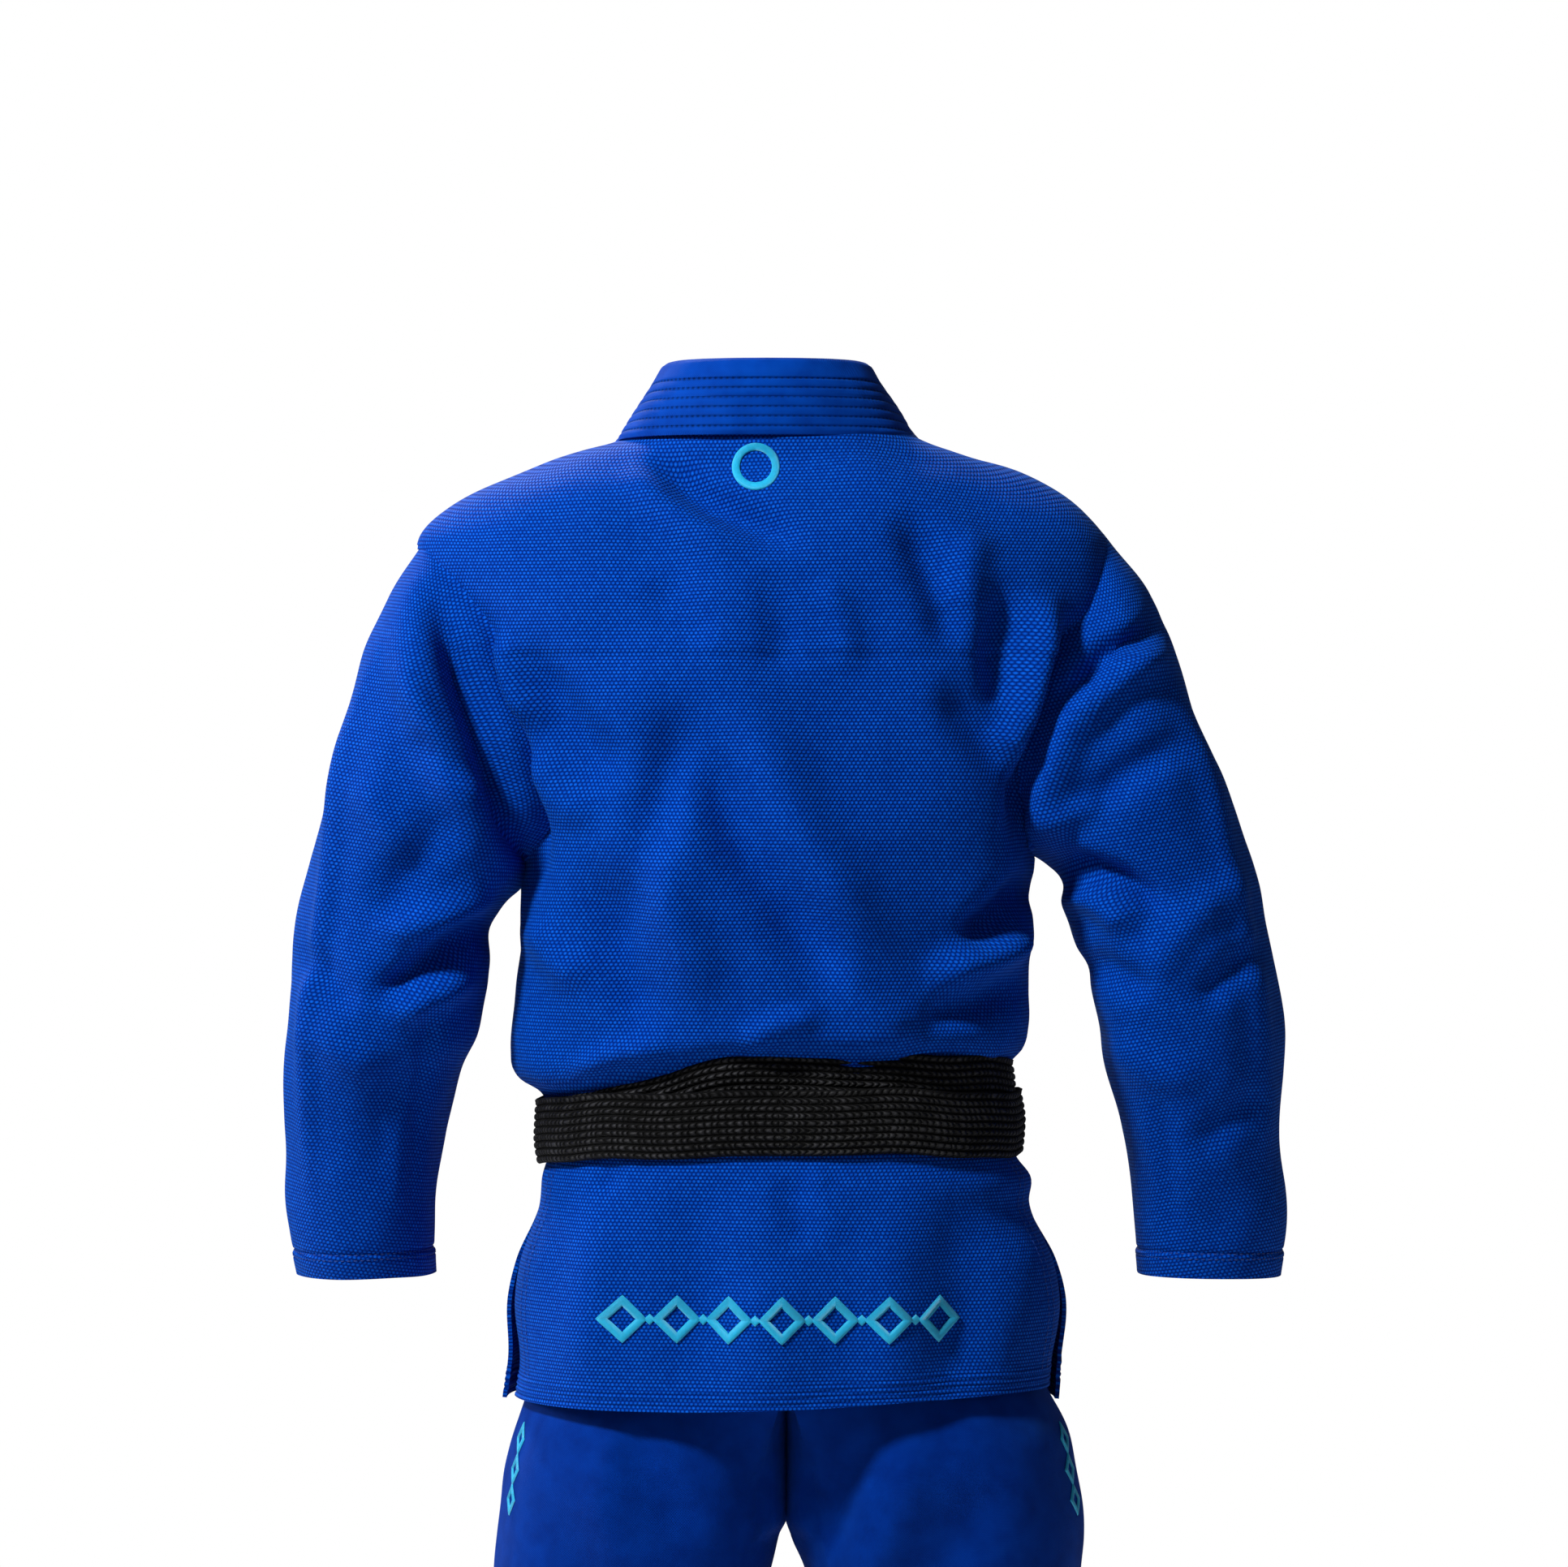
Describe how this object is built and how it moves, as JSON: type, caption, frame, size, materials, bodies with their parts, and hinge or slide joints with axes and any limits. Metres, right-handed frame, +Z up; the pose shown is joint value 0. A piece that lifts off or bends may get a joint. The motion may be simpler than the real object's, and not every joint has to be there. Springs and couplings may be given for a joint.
{
  "type": "martial arts uniform",
  "caption": "Wrap-over jacket with a tied belt and loose trousers, shaped as worn, with sleeves and legs that move.",
  "frame": {"origin": "centre of the neck opening at the height where the collar is sewn to the back", "axes": "the front faces -Y, the wearer's left is +X and +Z is up"},
  "size_m": [0.6972, 0.2902, 1.472],
  "materials": {
    "jacket_weave": "rice-grain woven cotton, matt",
    "collar_twill": "stitched cotton twill over a stiff core",
    "trouser_drill": "cotton drill, matt",
    "belt_cotton": "stitched black cotton, worn",
    "embroidery_thread": "satin-stitched thread",
    "eyelet_steel": "plated steel"
  },
  "bodies": {
    "torso": {"collar": "collar_twill", "back_yoke": "jacket_weave", "back_panel": "jacket_weave", "left_front_panel": "jacket_weave", "right_front_panel": "jacket_weave", "left_lapel": "collar_twill", "right_lapel": "collar_twill", "back_roundel": "embroidery_thread", "belt_inner_turn": "belt_cotton", "belt_outer_turn": "belt_cotton", "belt_knot": "belt_cotton", "waistband": "trouser_drill", "left_belt_loop": "trouser_drill", "right_belt_loop": "trouser_drill", "left_drawcord_eyelet": "eyelet_steel", "right_drawcord_eyelet": "eyelet_steel", "seat_back": "trouser_drill", "seat_front": "trouser_drill", "crotch_gusset": "trouser_drill"},
    "left_upper_sleeve_body": {"left_sleeve_head": "jacket_weave", "left_upper_sleeve": "jacket_weave"},
    "left_forearm_body": {"left_elbow_fold": "jacket_weave", "left_lower_sleeve": "jacket_weave", "left_cuff": "jacket_weave"},
    "left_thigh_body": {"left_thigh_top": "trouser_drill", "left_thigh": "trouser_drill", "left_thigh_bar": "embroidery_thread"},
    "left_calf_body": {"left_knee": "trouser_drill", "left_shin": "trouser_drill", "left_trouser_hem": "trouser_drill"},
    "left_front_skirt_body": {"left_front_skirt": "jacket_weave", "left_lapel_end": "collar_twill"},
    "left_belt_tail_body": {"left_belt_tail": "belt_cotton"},
    "right_upper_sleeve_body": {"right_sleeve_head": "jacket_weave", "right_upper_sleeve": "jacket_weave"},
    "right_forearm_body": {"right_elbow_fold": "jacket_weave", "right_lower_sleeve": "jacket_weave", "right_cuff": "jacket_weave"},
    "right_thigh_body": {"right_thigh_top": "trouser_drill", "right_thigh": "trouser_drill", "right_thigh_bar": "embroidery_thread"},
    "right_calf_body": {"right_knee": "trouser_drill", "right_shin": "trouser_drill", "right_trouser_hem": "trouser_drill"},
    "right_front_skirt_body": {"right_front_skirt": "jacket_weave", "right_lapel_end": "collar_twill"},
    "right_belt_tail_body": {"right_belt_tail": "belt_cotton"},
    "back_skirt_body": {"back_skirt": "jacket_weave", "left_vent_patch": "jacket_weave", "right_vent_patch": "jacket_weave", "skirt_embroidery": "embroidery_thread"}
  },
  "joints": [
    {"name": "left_sleeve_raise", "type": "hinge", "parent": "torso", "child": "left_upper_sleeve_body", "pos_m": [0.218, 0.004, -0.12], "axis": [0, -1, 0], "range_deg": [0, 55], "deforming": ["left_sleeve_head"]},
    {"name": "left_elbow_bend", "type": "hinge", "parent": "left_upper_sleeve_body", "child": "left_forearm_body", "pos_m": [0.276, 0.009, -0.39], "axis": [-1, 0, 0], "range_deg": [0, 45], "deforming": ["left_elbow_fold"]},
    {"name": "left_leg_spread", "type": "hinge", "parent": "torso", "child": "left_thigh_body", "pos_m": [0.085, 0, -0.56], "axis": [0, -1, 0], "range_deg": [0, 25], "deforming": ["left_thigh_top"]},
    {"name": "left_knee_bend", "type": "hinge", "parent": "left_thigh_body", "child": "left_calf_body", "pos_m": [0.127, -0.005, -1.06], "axis": [1, 0, 0], "range_deg": [0, 70], "deforming": ["left_knee"]},
    {"name": "right_sleeve_raise", "type": "hinge", "parent": "torso", "child": "right_upper_sleeve_body", "pos_m": [-0.218, 0.004, -0.12], "axis": [0, 1, 0], "range_deg": [0, 55], "deforming": ["right_sleeve_head"]},
    {"name": "right_elbow_bend", "type": "hinge", "parent": "right_upper_sleeve_body", "child": "right_forearm_body", "pos_m": [-0.276, 0.009, -0.39], "axis": [-1, 0, 0], "range_deg": [0, 45], "deforming": ["right_elbow_fold"]},
    {"name": "right_leg_spread", "type": "hinge", "parent": "torso", "child": "right_thigh_body", "pos_m": [-0.085, 0, -0.56], "axis": [0, 1, 0], "range_deg": [0, 25], "deforming": ["right_thigh_top"]},
    {"name": "right_knee_bend", "type": "hinge", "parent": "right_thigh_body", "child": "right_calf_body", "pos_m": [-0.127, -0.005, -1.06], "axis": [1, 0, 0], "range_deg": [0, 70], "deforming": ["right_knee"]},
    {"name": "back_skirt_lift", "type": "hinge", "parent": "torso", "child": "back_skirt_body", "pos_m": [0, 0.113, -0.4965], "axis": [1, 0, 0], "range_deg": [0, 45]},
    {"name": "front_skirt_lift", "type": "hinge", "parent": "torso", "child": "left_front_skirt_body", "pos_m": [0, -0.117, -0.4965], "axis": [-1, 0, 0], "range_deg": [0, 45]},
    {"name": "under_front_skirt_lift", "type": "hinge", "parent": "torso", "child": "right_front_skirt_body", "pos_m": [0, -0.106, -0.4965], "axis": [-1, 0, 0], "range_deg": [0, 42]},
    {"name": "left_belt_tail_swing", "type": "hinge", "parent": "torso", "child": "left_belt_tail_body", "pos_m": [0.026, -0.147, -0.492], "axis": [-1, 0, 0], "range_deg": [0, 50]},
    {"name": "right_belt_tail_swing", "type": "hinge", "parent": "torso", "child": "right_belt_tail_body", "pos_m": [-0.026, -0.147, -0.492], "axis": [-1, 0, 0], "range_deg": [0, 50]}
  ],
  "couplings": [
    {"joint": "under_front_skirt_lift", "follows": "front_skirt_lift", "ratio": 0.9},
    {"joint": "left_belt_tail_swing", "follows": "front_skirt_lift", "ratio": 1.05},
    {"joint": "right_belt_tail_swing", "follows": "front_skirt_lift", "ratio": 1.05}
  ]
}
